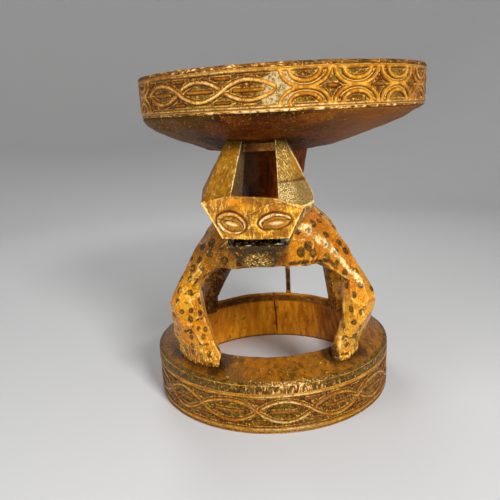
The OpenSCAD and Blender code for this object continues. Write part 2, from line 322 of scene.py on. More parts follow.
def fuse(shells, voxel, rounds):
    """Joins closed shells into one skin of small even faces, eased as many rounds."""
    points, faces = [], []
    for shell_points, shell_faces in shells:
        faces += [[len(points) + i for i in f] for f in shell_faces]
        points += list(shell_points)
    mesh = mesh_of("rough_out", points, faces)
    rough = stand("rough_out", mesh)
    remesh = rough.modifiers.new("skin", "REMESH")
    remesh.mode = "VOXEL"
    remesh.voxel_size = voxel * MM * 1
    dense = rough.evaluated_get(bpy.context.evaluated_depsgraph_get()).to_mesh()
    places = np.zeros(len(dense.vertices) * 3)
    dense.vertices.foreach_get("co", places)
    skin = Skin(places.reshape(-1, 3) / MM, np.array([p.vertices[:] for p in dense.polygons]))
    rough.to_mesh_clear()
    bpy.data.objects.remove(rough)
    bpy.data.meshes.remove(mesh)
    skin.points = skin.eased(rounds)
    return skin


def along(corners):
    """Points along a closed chain of corners; each corner's third number is the step that leads to it."""
    out = []
    for start, end in zip(corners, corners[1:] + corners[:1]):
        step = end[2] * 1
        count = max(1, round(math.dist(start[:2], end[:2]) / step))
        out += [(start[0] + (end[0] - start[0]) * k / count, start[1] + (end[1] - start[1]) * k / count)
                for k in range(count)]
    return out


def turned(profile, steps, carve):
    """A skin swept round the Z axis through a closed profile of (radius, height) points.

    carve takes the turn in degrees from the viewer, the radius, the height and the place of
    every point, and returns the new radius, the new height and a dict of marks."""
    steps = steps
    turn, radius = np.meshgrid(np.arange(steps) * 360 / steps, [p[0] for p in profile], indexing="ij")
    height = np.broadcast_to([p[1] for p in profile], radius.shape)
    angle = np.radians(turn)
    where = np.stack([radius * np.sin(angle), -radius * np.cos(angle), height], -1)
    radius, height, marks = carve(turn, radius, height, where)
    points = np.stack([radius * np.sin(angle), -radius * np.cos(angle), height], -1).reshape(-1, 3)
    skin = Skin(points, grid(steps, len(profile), True))
    skin.marks = {name: values.reshape(-1) for name, values in marks.items()}
    return skin


# Carved friezes


def oval_chain(u, v, pitch, swing, width, bar, spandrel, filled=1):
    """Two strands that cross between pointed ovals.

    Each oval holds a straight ridge, and where filled is 1 short ridges stand in the corners."""
    turn = math.pi * u / pitch
    wave = swing * np.sign(np.cos(turn)) * np.abs(np.cos(turn)) ** 0.82
    tilt = np.sqrt(1 + (swing * math.pi / pitch * np.sin(turn)) ** 2)
    over = strand((v - wave) / tilt, width)
    under = strand((v + wave) / tilt, width)
    cell = np.abs((u + pitch / 2) % pitch - pitch / 2)
    crossing = pitch / 2 - cell
    under = under * (1 - 0.5 * hump(crossing, 0, 3.5) * (np.abs(v) < 4))
    ridge = 0.85 * strand(np.hypot(v, np.maximum(cell - bar / 2, 0)), width * 0.85)
    past = np.maximum(crossing - 0.14 * pitch, 0)
    corner = 0.7 * filled * strand(np.hypot(np.abs(v) - spandrel, past), width * 0.75)
    return np.max([over, under, ridge, corner], axis=0)


def ellipse_gap(u, v, half_width, half_height):
    """About how far a point lies outside an ellipse."""
    q = np.sqrt((u / half_width) ** 2 + (v / half_height) ** 2) + 1e-6
    slope = np.sqrt((u / half_width ** 2) ** 2 + (v / half_height ** 2) ** 2) / q + 1e-6
    return (q - 1) / slope


def nested_arcs(u, v, pitch, half, width, filled):
    """Double arcs that hang from the upper border and stand on the lower one, with bars between them."""
    cell = (u + pitch / 2) % pitch - pitch / 2
    past = np.maximum(pitch / 2 - np.abs(cell) - 4.5, 0)
    found = 0.75 * filled * strand(np.hypot(v, past), width * 0.8)
    for side in (-1, 1):
        rise = v - side * half
        for reach, drop in ((0.445, 1), (0.285, 0.62)):
            arc = strand(ellipse_gap(cell, rise, reach * pitch, drop * half), width)
            found = np.maximum(found, np.where(rise * side < 1, arc, 0))
    return found


def frieze_band(height, where, low, high, border, frieze):
    """Two border lines at the heights low and high, and a frieze between them."""
    drift = 0.5 * waver(where, 24, 8)
    lines = np.maximum(strand(height - low + drift, border), strand(height - high + drift, border))
    inside = (height > low + 1) & (height < high - 1)
    return np.maximum(lines, np.where(inside, frieze, 0))


def tool_marks(where, seed):
    """The uneven ground that a small chisel leaves, in millimetres."""
    return 0.3 * waver(where, 4.5, seed) + 0.22 * waver(where, 2.2, seed + 1)


# Materials


def paint(colour):
    """A colour given from 0 to 255 a channel, as a linear RGBA colour."""
    channels = [c / 255 for c in colour]
    return [c / 12.92 if c < 0.04045 else ((c + 0.055) / 1.055) ** 2.4 for c in channels] + [1]


class Value:
    """A socket of a material, which can be used in sums."""

    def __init__(self, wood, socket):
        self.wood = wood
        self.socket = socket

    def maths(self, operation, first, second):
        return self.wood.add("Math", {0: first, 1: second}, operation=operation)

    def __add__(self, other):
        return self.maths("ADD", self, other)

    def __mul__(self, other):
        return self.maths("MULTIPLY", self, other)

    def __sub__(self, other):
        return self.maths("SUBTRACT", self, other)

    def __rsub__(self, other):
        return self.maths("SUBTRACT", other, self)

    __radd__ = __add__
    __rmul__ = __mul__

    def above(self, low, high):
        """0 below low and 1 above high, with a smooth climb."""
        return self.wood.add("MapRange", {"Value": self, "From Min": low, "From Max": high},
                             interpolation_type="SMOOTHSTEP")

    def below(self, low, high):
        """1 below low and 0 above high."""
        return 1 - self.above(low, high)


class Wood:
    """Varnished wood: blotches of two tones, dark grain, specks of dirt, and what is laid over them.

    Its nodes are added one expression at a time. Colours are values, or tuples from 0 to 255 a channel."""

    def __init__(self, name, light, middle, dark, grain_share):
        self.material = bpy.data.materials.new(name)
        self.material.use_nodes = True
        self.tree = self.material.node_tree
        self.tree.nodes.clear()
        self.place = self.add("TexCoord", out="Object")
        self.grain = self.noise((480, 480, 24), 5, 0.62)
        self.blotch = self.noise(46, 4, 0.6)
        self.patch = self.noise(130, 3, 0.6)
        self.fine = self.noise(1000, 2, 0.65)
        self.rag = self.noise(330, 4, 0.68)
        self.colour = self.mix(self.blotch.above(0.4, 0.6), middle, light)
        self.over(self.patch.above(0.5, 0.68) * 0.5, dark)
        self.over(self.rings(4.2, 5).above(0.55, 1) * (0.5 * grain_share), dark)
        self.over(self.grain.above(0.48, 0.66) * grain_share, dark)
        self.over(self.rag.above(0.54, 0.64) * 0.45, dark)
        self.over(self.fine.above(0.54, 0.66) * 0.35, dark)

    def add(self, kind, sockets=(), out=0, **settings):
        """Adds a node with its sockets' values or links and its settings."""
        node = self.tree.nodes.new("ShaderNode" + kind)
        for key, value in settings.items():
            setattr(node, key, value)
        for key, value in dict(sockets).items():
            if isinstance(value, Value):
                self.tree.links.new(value.socket, node.inputs[key])
            else:
                node.inputs[key].default_value = value
        return Value(self, node.outputs[out]) if node.outputs else None

    def mark(self, name):
        """A number that the mesh carries at each point."""
        return self.add("Attribute", out="Fac", attribute_name=name)

    def noise(self, scale, detail, rough, lean=0):
        """Noise; three scales draw it out, and lean tips its upright streaks to the right."""
        where = self.place
        if isinstance(scale, tuple):
            stretch = [1 / s for s in scale]
            where = self.add("Mapping", {"Vector": where, "Rotation": (0, lean, 0), "Scale": stretch},
                             vector_type="TEXTURE")
            scale = 1
        return self.add("TexNoise", {"Vector": where, "Scale": scale, "Detail": detail, "Roughness": rough})

    def rings(self, spacing, distortion):
        """The log's growth rings, which run up the sides as grain."""
        where = self.add("Mapping", {"Vector": self.place, "Scale": (1, 1, 0.06),
                                     "Location": (-PITH[0] * MM, -PITH[1] * MM, 0)})
        return self.add("TexWave", {"Vector": where, "Scale": 0.314 / spacing / MM, "Distortion": distortion,
                                    "Detail": 3, "Detail Scale": 1.4, "Detail Roughness": 0.6},
                        wave_type="RINGS", rings_direction="Z")

    def mix(self, share, first, second):
        """Goes from the first colour to the second as share goes from 0 to 1."""
        first, second = (paint(c) if isinstance(c, tuple) else c for c in (first, second))
        return self.add("Mix", {0: share, 6: first, 7: second}, out=2, data_type="RGBA")

    def over(self, share, colour):
        """Lays a colour over what is there."""
        self.colour = self.mix(share, self.colour, colour)

    def ragged(self, value, amount, patchy=0):
        """A value with its edges made uneven, in small and where patchy is given also in large."""
        if patchy:
            value = value + (self.patch - 0.5) * patchy
        return value + (self.rag - 0.5) * amount

    def scratches(self, share):
        self.over(self.noise((520, 520, 240), 3, 0.7).above(0.6, 0.68) * share, STRAW)

    def close(self, coat=0.1, shift=0, shine=0.5):
        """Ends the material with its varnish and its bump, and gives it."""
        rough = shift + 0.3 + (self.rag - 0.5) * 0.5 + (self.blotch - 0.5) * 0.2
        height = self.grain * 0.35 + self.fine * 0.25 + self.rag * 0.7
        bump = self.add("Bump", {"Height": height, "Distance": BUMP_DEPTH * MM, "Strength": 1})
        shader = self.add("BsdfPrincipled", {
            "Base Color": self.colour, "Roughness": rough, "Normal": bump, "IOR": 1.5,
            "Specular IOR Level": shine, "Specular Tint": (1, 0.6, 0.2, 1),
            "Coat Weight": coat, "Coat Roughness": 0.14, "Coat IOR": 1.45})
        self.add("OutputMaterial", {"Surface": shader})
        return self.material


def relief_wood(name, ground, lip, flake_stretch):
    """Golden strands on a dark carved-out ground, with a rubbed and flaked lip, painted highlights and shade
    on the strands, painted glints in the ground and a painted glare where the carving is rubbed flat.
    """
    wood = Wood(name, (204, 138, 22), (172, 104, 8), AMBER, 0.5)
    over, mark, mix, noise, ragged = wood.over, wood.mark, wood.mix, wood.noise, wood.ragged
    high = mark("carved")
    ridge = mark("ridge")
    chalk = mark("chalk")
    over(wood.patch.below(0.38, 0.46) * 0.4, (164, 86, 8))
    # Painted highlight along the strand tops, then painted shade down their sides.
    over(high.above(0.8, 1) * wood.patch.above(0.44, 0.62) * 0.6, (236, 182, 74))
    over(high.below(0.66, 0.95) * 0.75, (138, 70, 7))
    dug = mix(wood.blotch.above(0.42, 0.58), (84, 36, 5), ground)
    dug = mix(noise(300, 4, 0.7).above(0.46, 0.6) * 0.8, dug, (52, 20, 2))
    dug = mix(noise(240, 4, 0.7).above(0.54, 0.62) * 0.75, dug, BRONZE)
    # Painted glints: pale specks in the carved-out ground.
    dug = mix(noise(380, 3, 0.75).above(0.6, 0.66) * 0.85, dug, STRAW)
    over(ragged(high, 0.3).below(0.35, 0.68), dug)
    # Painted shade: a dark line where each strand meets the ground.
    foot = ragged(high, 0.25)
    over(foot.above(0.05, 0.2) * foot.below(0.4, 0.72) * 0.88, (66, 20, 2))
    # Painted highlight: pale strand tops, most towards the front.
    over(high.above(0.85, 1) * chalk.above(0.25, 0.7) * wood.rag.above(0.42, 0.52) * 0.7, (250, 220, 152))
    # Painted shade where the band turns away from the light.
    over(ragged(mark("dim"), 0.4).above(0.2, 1) * 0.65, (94, 58, 16))
    # Painted reflection: a silver-grey glare laid over the patch where the carving is worn flat.
    silver = mix(wood.rag.above(0.44, 0.6), (196, 176, 128), (118, 92, 44))
    over(ragged(mark("worn"), 1.2).above(0.2, 0.8) * ragged(high, 0.2).below(0.52, 0.62) * 0.85, silver)
    # Painted shade in creases.
    over(ragged(ridge, 0.3).below(-0.4, -0.06) * 0.75, (38, 14, 2))
    over(ragged(ridge, 0.5).above(0.16, 0.45) * 0.6, (240, 188, 84))
    edge = mix(noise((120, 120, 300), 4, 0.7).above(0.4, 0.58), (36, 22, 6), lip)
    flakes = noise(flake_stretch, 4, 0.75) + (chalk - 0.5) * 0.22
    edge = mix(flakes.above(0.5, 0.56) * 0.7, edge, HONEY)
    edge = mix(flakes.above(0.56, 0.62), edge, (238, 210, 146))
    over(ragged(mark("lip"), 0.5).above(0.35, 0.75) * 0.95, edge)
    wood.scratches(0.6)
    return wood


def pelt_wood(name, light, middle):
    """The leopard's golden coat with its dark painted spots, pale ridges that are partly rubbed and partly
    painted highlight, and painted shade, light and glints.
    """
    wood = Wood(name, light, middle, AMBER, 0.4)
    over, mark, noise, ragged = wood.over, wood.mark, wood.noise, wood.ragged
    ridge = mark("ridge")
    facet = mark("facet")
    over(facet.above(0.5, 0.95) * 0.6, (170, 84, 3))
    over(facet.below(0.1, 0.4) * wood.patch.above(0.42, 0.6) * 0.6, (250, 200, 60))
    # Painted shade on the viewer's left upper leg, away from the light.
    over(mark("dim") * 0.6, (122, 66, 8))
    # Painted light on the lower viewer's-right foreleg.
    over(mark("glow") * wood.patch.above(0.36, 0.56) * 0.5, (236, 172, 52))
    fleck = noise(520, 3, 0.7)
    over(fleck.above(0.55, 0.62) * 0.3, (250, 200, 74))
    over(fleck.below(0.38, 0.44) * 0.45, (120, 64, 6))
    shade = ragged(mark("shade"), 0.5).above(0.2, 0.9)
    over(shade * 0.88, wood.mix(wood.rag.above(0.44, 0.58), (58, 20, 4), (104, 46, 6)))
    # Painted shade in creases.
    over(ragged(ridge, 0.5).below(-0.6, -0.1) * 0.85, UMBER)
    spot = ragged(mark("spot"), 0.45, 0.4)
    over(spot.below(0.8, 1.2) * 0.92, wood.mix(wood.rag.above(0.46, 0.6), (46, 22, 4), (84, 58, 14)))
    over(spot.below(0.3, 0.6) * mark("kind").above(0.78, 0.8) * 0.6, BRONZE)
    # Pale on the ridges: wear, and partly a painted highlight.
    worn = ragged(ridge, 0.6).above(0.16, 0.6) * wood.patch.above(0.42, 0.56)
    over((1 - 0.5 * shade) * worn * 0.7, (248, 206, 112))
    over(ragged(mark("edge"), 1.2, 1.6).above(0.4, 1) * 0.6, (246, 204, 116))
    # Painted glints: pale specks on the paws, lower legs and face.
    over(mark("glitter") * noise((420, 420, 220), 4, 0.75).above(0.54, 0.6) * 0.85, (252, 208, 104))
    flake = noise((230, 230, 90), 4, 0.75, 0.6).above(0.47, 0.52)
    # The shoulder's pale band: flaked wear with a painted highlight along its ridge.
    worn = ragged(mark("worn"), 1.1, 1.1).above(0.35, 0.9)
    over(worn * (0.14 + 0.76 * flake), (238, 216, 156))
    # Painted shadow lines in undercuts.
    over(mark("cut") * 0.9, (36, 10, 3))
    wood.scratches(0.55)
    return wood


def facet_wood(name, light, middle, dark, edge, edge_share=0.7):
    """Plain hewn facets with rubbed pale edges and painted shade in their creases."""
    wood = Wood(name, light, middle, dark, 0.6)
    ridge = wood.mark("ridge")
    facet = wood.mark("facet")
    wood.over(facet.above(0.4, 1) * 0.7, dark)
    wood.over(facet.below(0, 0.4) * wood.patch.above(0.4, 0.56) * 0.6, edge)
    # Painted shade in creases.
    wood.over(wood.ragged(ridge, 0.4).below(-0.55, -0.12) * 0.8, SOOT)
    wood.over(wood.ragged(ridge, 0.35).above(0.12, 0.4) * edge_share, edge)
    return wood


# Camera, stage and light


def look(place, ahead, roll=0):
    """The matrix of a camera or lamp at a place, in metres, that faces ahead."""
    facing = Vector(ahead).to_track_quat("-Z", "Y").to_matrix().to_4x4()
    return Matrix.Translation(place) @ facing @ Matrix.Rotation(roll, 4, "Z")


def stand_camera():
    """A camera that looks at the stool as the photograph does."""
    data = bpy.data.cameras.new("camera")
    data.lens = 39.26
    data.sensor_width = 36
    camera = stand("camera", data)
    camera.matrix_world = look((0.002, -0.7175, 0.3634), (-0.0683, 0.9674, -0.2439), -0.0508)
    bpy.context.scene.camera = camera


def stand_light(name, place, size, power):
    """A square lamp at a place, in metres, that faces the middle of the stool."""
    data = bpy.data.lights.new(name, "AREA")
    data.size = size
    data.energy = power
    stand(name, data).matrix_world = look(place, np.subtract((0, 0, 0.22), place))


def stand_stage():
    """A plain pale floor that sweeps up into a plain round wall, with soft lamps and an even world."""
    radius, bend, height, sides = 2400, 1000, 5000, 96
    profile = [(radius - bend + bend * math.sin(a), bend - bend * math.cos(a))
               for a in np.linspace(0, math.pi / 2, 20)]
    profile = [(1, 0), (700, 0)] + profile + [(radius, height)]
    turns = [2 * math.pi * i / sides for i in range(sides)]
    points = [(r * math.cos(a), r * math.sin(a), z) for r, z in profile for a in turns]
    mesh = mesh_of("sweep", points, grid(len(profile), sides, False).tolist())
    mesh.shade_smooth()
    paper = bpy.data.materials.new("backdrop_paper")
    paper.use_nodes = True
    shader = paper.node_tree.nodes["Principled BSDF"]
    shader.inputs["Base Color"].default_value = (0.6, 0.6, 0.6, 1)
    shader.inputs["Roughness"].default_value = 0.9
    mesh.materials.append(paper)
    sweep = stand("sweep", mesh)
    stand_light("key", (0.6, -1.2, 1.05), 0.36, 29)
    stand_light("fill", (-1.2, -0.9, 0.5), 0.7, 8)
    stand_light("back", (-0.5, 1.2, 1.2), 0.7, 9)
    world = bpy.data.worlds.new("even_light")
    world.use_nodes = True
    background = world.node_tree.nodes["Background"]
    background.inputs["Color"].default_value = (1, 0.98, 0.95, 1)
    background.inputs["Strength"].default_value = 0.11
    bpy.context.scene.world = world


# Seat

RIM_PITCH = 18
RIM_RUNS = [("ovals", -55, 3), ("arcs", -1, 4), ("ovals", 71, 3),
            ("arcs", 125, 3), ("ovals", 179, 3), ("arcs", 233, 4)]


def rim_frieze(turn, height, where, low, high, filled):
    """Ovals and arcs that take turns round the seat's band, parted by upright lines."""
    half = (high - low) / 2 - 1.2
    pitch = math.radians(RIM_PITCH) * SEAT_RADIUS
    v = height - (low + high) / 2 + 0.8 * waver(where, 26, 3)
    carved = np.zeros_like(turn)
    for kind, first, cells in RIM_RUNS:
        run = (turn - first) % 360
        inside = run < cells * RIM_PITCH
        u = (run / RIM_PITCH - 0.5) * pitch + 1.1 * waver(where, 30, 5)
        if kind == "ovals":
            ovals = oval_chain(u, v, pitch, 0.62 * half, 5.5, 0.55 * pitch, 0.74 * half, filled)
            line = strand(((turn - first + 180) % 360 - 180) / RIM_PITCH * pitch, 3)
            carved = np.maximum(np.where(inside, ovals, carved), line)
        else:
            carved = np.where(inside, nested_arcs(u, v, pitch, half, 5.5, filled), carved)
    return carved


def seat_rim():
    inner = SEAT_RADIUS - LIP_WIDTH
    outer = SEAT_RADIUS - 0.5
    low, high = BAND_FOOT + 5.2, SEAT_TOP - 6.8
    profile = along([
        (inner, DISH_FLOOR - 4, 2), (inner, BAND_FOOT, 12), (outer - 2, BAND_FOOT, 3),
        (outer - 0.6, BAND_FOOT + 2, 0.8), (outer, SEAT_TOP - 2.8, 0.8), (outer - 0.6, SEAT_TOP - 1.2, 0.8),
        (outer - 1.7, SEAT_TOP, 0.8), (inner + 2.5, SEAT_TOP - 0.3, 1.6), (inner + 0.6, SEAT_TOP - 1.4, 0.8)])

    def carve(turn, radius, height, where):
        side = radius > outer - 0.7
        top = height > SEAT_TOP - 2.5
        front = (turn + 180) % 360 - 180
        # The carving is worn flat in a patch at the front, which is also painted as a varnish glare.
        bare = fall(3.8, 5.4, np.abs(front + 0.8 + 3 * waver(where, 10, 2)))
        bare = bare * (height > low) * (height < high)
        frieze = rim_frieze(turn, height, where, low, high, 1 - bare)
        carved = frieze_band(height, where, low, high, 4.2, frieze)
        edge = climb(high + 1.5, high + 3.2, height) + fall(low - 3.6, low - 1.8, height)
        flush = np.max([carved, 0.45 * bare, 0.9 * np.clip(edge, 0, 1)], axis=0)
        chips = np.maximum(waver(where, 7, 11) - 0.1, 0) * 1.6 + 0.35 * waver(where, 2.5, 12)
        cut = CARVING_DEPTH * (1 - flush) + tool_marks(where, 4) * (1 - 0.7 * flush) + edge * chips
        dents = 0.45 * np.maximum(waver(where, 10, 15), 0) + 0.15 * waver(where, 3, 16)
        radius = radius - np.where(side, cut, 0)
        height = height - np.where(top, dents, 0)
        lip = np.where(radius > SEAT_RADIUS - 6, 0.75, 0.15 + 0.35 * waver(where, 18, 17))
        # Most at the front: how much the lip flakes pale, which is wear, and how much the strand tops get a
        # painted highlight.
        chalk = np.where(height < low, 0.5 + 0.5 * hump(front, -4, 24), 0.2 + 0.35 * hump(front, -22, 24))
        # Painted shade at both ends of the band, where it turns away.
        dim = side * (hump(front, 76, 14) + 0.6 * hump(front, -76, 12))
        return radius, height, {"carved": np.where(side, flush, 1), "worn": bare * side,
                                "lip": np.where(side, edge, lip), "chalk": chalk, "dim": dim}

    skin = turned(profile, 1400, carve)
    skin.mark_ridges(5)
    wood = relief_wood("carved_band_wood", (112, 84, 20), (112, 70, 24), (150, 150, 340))
    skin.piece("seat_rim_carved", wood.close(0.06, wood.mark("lip") * 0.3, 0.3), "seat_rim", "carved_rim")


BOWL_DROP = [0, 0.08, 0.24, 0.42, 0.6, 0.76, 0.92, 1]
BOWL_WIDTH = [0.983, 0.97, 0.914, 0.814, 0.691, 0.571, 0.446, 0.309]
BOWL_LEAN = [0, 0.12, 0.38, 0.55, 0.75, 0.75, 1, 0.92]


def seat_bowl():
    """The hewn underside and the sitting face, as one turned skin that leans towards the pillar."""
    depth = BAND_FOOT - BOWL_FOOT
    inner = SEAT_RADIUS - LIP_WIDTH - 0.2
    corners = [(1, DISH_FLOOR - 1.8, 8), (0.6 * inner, DISH_FLOOR - 1.2, 2.6), (inner, DISH_FLOOR, 2.6),
               (inner, BAND_FOOT + 0.1, 10)]
    corners += [(SEAT_RADIUS * w, BAND_FOOT - depth * d, 2.6) for d, w in zip(BOWL_DROP, BOWL_WIDTH)]
    corners.append((1, BOWL_FOOT + 0.2, 6))

    def carve(turn, radius, height, where):
        lean = PILLAR_X * np.interp((BAND_FOOT - height) / depth, BOWL_DROP, BOWL_LEAN)
        return radius, height, {"lean": lean, "dish": climb(DISH_FLOOR - 4, DISH_FLOOR - 3, height)}

    skin = turned(along(corners[::-1]), 440, carve)
    skin.points[:, 0] += skin.marks.pop("lean")
    before = skin.points
    skin.hew(24, 0.85, 2, 41, 2)
    hold = climb(BAND_FOOT - 5, BAND_FOOT - 0.5, before[:, 2])
    skin.points += (before - skin.points) * hold[:, None]
    dish = skin.marks["dish"]
    skin.points[:, 2] += 0.3 * (1 - dish) * waver(skin.points, 7, 3) * (1 - hold)
    skin.points[:, 2] += dish * (0.35 * waver(skin.points, 22, 9) + 0.12 * waver(skin.points, 6, 10))
    skin.mark_ridges(4)
    p = skin.points
    far = np.hypot(p[:, 0] - PILLAR_X, p[:, 1])
    ear_tops = to_line(p[:, :2], [(-76, -98), (10, -108)])
    # Painted shadow under the seat, round the pillar and over the ear tops.
    sooty = np.maximum(0.7 * fall(55, 130, far), fall(9, 24, ear_tops))
    skin.marks.update(sooty=sooty * (1 - dish), east=climb(-170, 170, p[:, 0] + 12 * waver(p, 40, 13)))
    wood = facet_wood("bowl_wood", (116, 56, 8), (86, 34, 4), MAROON, (146, 84, 20))
    east = wood.mark("east")
    # Olive towards the left of the bowl; painted light towards the right.
    wood.over(east.below(0.08, 0.3) * 0.6, (82, 60, 16))
    wood.over(east.above(0.6, 0.9) * 0.6, (156, 92, 20))
    # Painted shadow near the pillar and the ear tops.
    wood.over(wood.ragged(wood.mark("sooty"), 0.3).above(0.1, 0.9) * 0.9, (26, 8, 3))
    ends = wood.mix(wood.rings(3.4, 2.2).above(0.3, 0.9), CHESTNUT, RUSSET)
    ends = wood.mix(wood.noise(34, 4, 0.6).above(0.42, 0.66) * 0.6, ends, AMBER)
    ends = wood.mix(wood.noise(620, 2, 0.6).above(0.52, 0.68) * 0.5, ends, MAROON)
    wood.over(wood.mark("dish"), ends)
    wood.scratches(0.5)
    skin.piece("seat_bowl_hewn", wood.close(0.02, 0.25, 0.18), "seat_bowl", "bowl")


# Base

BASE_PITCH = 24
PAW_PRINTS = [(90, -94, 14), (-86, -98, 24), (102, 80, 14), (-102, 80, 14)]


def base_ring():
    outer = BASE_RADIUS
    low, high = 6.6, 48.6
    profile = along([
        (HOLE_FLOOR_RADIUS, 0, 4), (outer - 2.4, 0, 3), (outer - 0.5, 2.2, 0.8),
        (outer, BASE_WALL_TOP - 2.4, 0.8), (outer - 1, BASE_WALL_TOP - 0.4, 0.8),
        (outer - 2.6, BASE_WALL_TOP + 0.8, 0.8), (HOLE_TOP_RADIUS + 1.6, RING_TOP - 0.6, 1.6),
        (HOLE_TOP_RADIUS + 0.2, RING_TOP - 1.6, 0.8)])

    def carve(turn, radius, height, where):
        side = (radius > outer - 0.6) & (height < BASE_WALL_TOP - 1)
        top = (height > BASE_WALL_TOP + 0.6) & (radius > HOLE_TOP_RADIUS + 0.4)
        wall = ~top & (radius < HOLE_FLOOR_RADIUS - 0.01) & (height > 0.01)
        around = (turn + 180) % 360 - 180
        pitch = math.radians(BASE_PITCH) * outer
        u = (turn - 6.5 + 2.6 * hump(around, -34, 12)) / BASE_PITCH * pitch + 1.4 * waver(where, 34, 7)
        v = height - 28.3 + 1.2 * np.sin(np.radians(around)) + 0.9 * waver(where, 30, 6)
        cell = (u + pitch / 2) % pitch - pitch / 2
        odd = np.floor(u / pitch + 0.5) % 2
        second = strand(np.hypot(v + 6.4, np.maximum(np.abs(cell) - 9, 0)), 2.8)
        chain = np.maximum(oval_chain(u, v, pitch, 13.2, 5, 0.5 * pitch, 13.4), 0.65 * odd * second)
        plain = climb(high + 2, high + 3.5, height)
        foot = fall(low - 4.6, low - 2.8, height)
        flush = np.maximum(frieze_band(height, where, low, high, 5, chain), 0.9 * np.maximum(plain, foot))
        chips = np.maximum(waver(where, 8, 21), 0) * 1.1 + 0.45 * waver(where * [1, 1, 1.6], 3, 22)
        cut = CARVING_DEPTH * (1 - flush) + tool_marks(where, 14) * (1 - 0.6 * flush)
        cut = cut + (plain + 0.6 * foot) * chips
        corner = climb(outer - 9, outer - 3, radius) * (height > BASE_WALL_TOP - 1)
        flutes = 0.9 * waver(where * [1, 1, 0.12], 7, 33) + 0.5 * waver(where * [1, 1, 0.25], 3, 35)
        crack = wall * hump((around + 182) % 360 + waver(where, 20, 3), 0.6, 0.45)
        radius = radius - np.where(side, cut, 0.5 * corner * chips) + np.where(wall, flutes + 2.2 * crack, 0)
        height = height + np.where(top, 0.6 * waver(where, 16, 31) + 0.22 * waver(where, 4, 32), 0)
        lip = np.where(side, np.maximum(plain, 0.6 * foot), corner)
        print_gap = np.inf
        for x, y, reach in PAW_PRINTS:
            across = math.copysign(reach, x)
            print_line = [(x - across, y - 0.9 * reach), (x + across, y + 0.9 * reach)]
            print_gap = np.minimum(print_gap, to_line(where[..., :2], print_line))
        # Painted shade on the ring top round the paws and towards the back.
        soil = fall(9, 21, print_gap + 3 * waver(where * [1, 1, 0], 11, 23))
        soil = np.maximum(soil, 0.4 * climb(70, 105, where[..., 1]))
        return radius, height, {
            "carved": np.where(side, flush, 1), "lip": np.where(wall, 0, lip), "soil": soil,
            # Painted shade on the band's left; lip flakes and a painted strand-top highlight, most at the
            # front.
            "dim": 0.7 * side * hump(around, -66, 16), "chalk": 0.12 + 0.55 * hump(around, 8, 17),
            # A climb from left to right for the ring's painted light and shade.
            "east": climb(-60, 90, where[..., 0]), "top": top * (1 - corner), "wall": wall, "crack": crack}

    skin = turned(profile, 1250, carve)
    skin.points[:, 0] += BASE_X
    skin.mark_ridges(5)
    wood = relief_wood("carved_base_wood", (98, 74, 18), (84, 66, 26), (430, 430, 110))
    over, mark, mix, noise = wood.over, wood.mark, wood.mix, wood.noise
    east = mark("east")
    above = mix(wood.blotch.above(0.42, 0.6), (104, 64, 6), (146, 84, 4))
    # Painted light: the ring top lighter towards the right.
    above = mix(east * 0.5, above, (164, 104, 34))
    above = mix(wood.patch.above(0.5, 0.6) * 0.7, above, (76, 50, 10))
    above = mix(noise(480, 4, 0.7).above(0.52, 0.62) * 0.5, above, RUSSET)
    above = mix(noise(160, 5, 0.75).above(0.6, 0.66) * 0.6, above, STRAW)
    # Painted shade round the paws and at the back of the ring top.
    above = mix(mark("soil") * 0.85, above, (34, 18, 6))
    over(wood.ragged(mark("top"), 0.3).above(0.1, 0.5), above)
    streak = noise((90, 90, 7), 4, 0.6)
    inside = mix(streak.above(0.38, 0.64), (220, 130, 8), (250, 172, 36))
    # Painted shade: the inner wall darker towards the right.
    inside = mix(east * 0.8, inside, mix(streak.above(0.42, 0.58), (96, 36, 4), (160, 84, 8)))
    inside = mix(noise((420, 420, 16), 4, 0.6).above(0.52, 0.7) * 0.35, inside, RUSSET)
    inside = mix(noise(60, 4, 0.6).above(0.58, 0.68) * 0.6, inside, RUSSET)
    inside = mix(noise(420, 4, 0.75).above(0.63, 0.68) * 0.8, inside, STRAW)
    over(mark("wall"), inside)
    over(mark("crack"), SOOT)
    skin.piece("base_ring_carved", wood.close(0.06, mark("lip") * 0.2, 0.3), "base_ring", "carved_base")


# The leopard's body

TRUNK_OUTLINE = [(0, 1), (0.42, 0.98), (0.72, 0.84), (0.92, 0.58), (1, 0.28), (0.93, 0.03), (0.5, 0)]
TRUNK_COURSE = [(-113, 58, 226, 190), (-97, 72, 246, 187), (-70, 76.5, 260, 187), (0, 56, 258, 187),
                (56, 68, 257, 183), (102, 44, 242, 191), (113, 22, 226, 199)]
FRONT_COURSE = [(0, 0, 0, 1, 1.1), (0.045, 0.06, 0.2, 0.7, 0.97), (0.284, 0.17, 0.382, 1.35, 1.3),
                (0.422, 0.257, 0.564, 1.46, 1.46), (0.627, 0.396, 0.782, 1.46, 1.46),
                (0.7, 0.455, 0.87, 0.95, 0.95)]
REAR_COURSE = [(0, 0, 0, 1, 1.1), (0.114, 0.088, 0.246, 1.16, 1.32), (0.341, 0.2, 0.508, 1.37, 1.58),
               (0.511, 0.3, 0.689, 1.21, 1.42), (0.614, 0.35, 0.803, 0.68, 0.84)]
FRONT_KNEE = (102, -101, 150, 18.5)
REAR_KNEE = (88, 80, 138, 19)
PAW_REACH = 130
PAW_Z = 75.5
TRUNK_FOOT = 182
NECK_ROOT = -113.5
PALE_EDGES = [[(83, -121, 150), (86, -120, 137), (87, -119, 126), (82, -109, 103)],
              [(66, -110, 152), (66, -111, 134), (67, -112, 120), (62, -110, 101), (60, -113, 92),
               (63, -110, 70)],
              [(-103, -111, 179), (-104, -106, 167), (-102, -110, 151), (-101, -110, 136), (-98, -111, 120),
               (-90, -109, 97)],
              [(-115, -94, 194), (-127, -102, 174), (-130, -114, 157), (-133, -113, 136), (-135, -102, 110)]]
